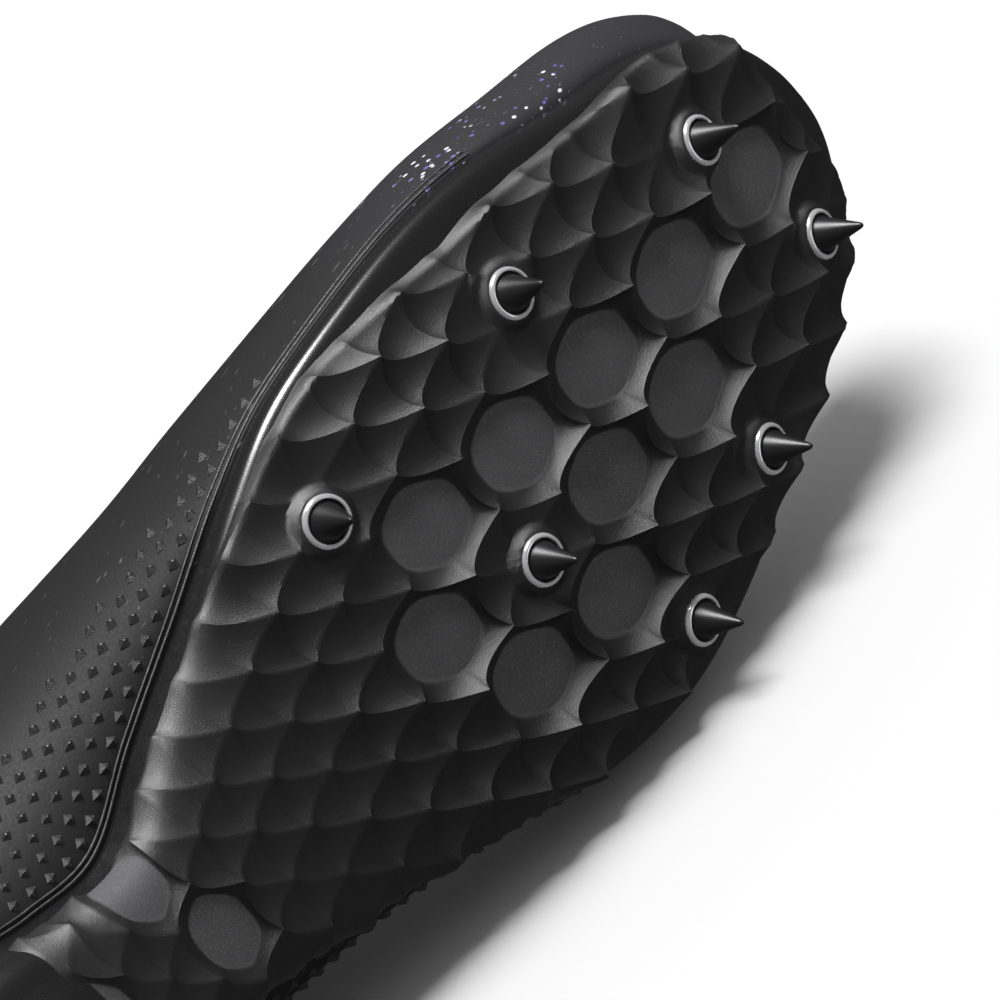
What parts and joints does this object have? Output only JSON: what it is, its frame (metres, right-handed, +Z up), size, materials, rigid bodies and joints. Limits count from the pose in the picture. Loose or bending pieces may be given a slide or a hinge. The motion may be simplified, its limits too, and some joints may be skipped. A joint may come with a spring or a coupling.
{
  "type": "track spike shoe",
  "caption": "Low-cut running spike for the right foot, lying on its medial side, with a honeycomb and pointed-scale plate, screw-in spikes, hollow upper, tongue and laces.",
  "frame": {"origin": "on the floor, under the middle of the shoe's bounding box", "axes": "+X towards the toe, -Y out of the sole, +Z up, out of the lateral side"},
  "size_m": [0.2888, 0.1154, 0.0987],
  "materials": {
    "upper": "semi-matte coated fabric with fine ribs",
    "plate": "satin moulded plastic with fine sparkle",
    "insole": "matte knitted cover",
    "tongue": "matte mesh",
    "laces": "flat braid",
    "spike_ring": "polished steel",
    "spike": "black coated steel"
  },
  "bodies": {
    "root": {"upper": "upper", "outsole_plate": "plate", "insole": "insole", "tongue": "tongue", "laces": "laces", "spike_ring_1": "spike_ring", "spike_ring_2": "spike_ring", "spike_ring_3": "spike_ring", "spike_ring_4": "spike_ring", "spike_ring_5": "spike_ring", "spike_ring_6": "spike_ring", "spike_ring_7": "spike_ring", "spike_1": "spike", "spike_2": "spike", "spike_3": "spike", "spike_4": "spike", "spike_5": "spike", "spike_6": "spike", "spike_7": "spike"}
  },
  "joints": []
}
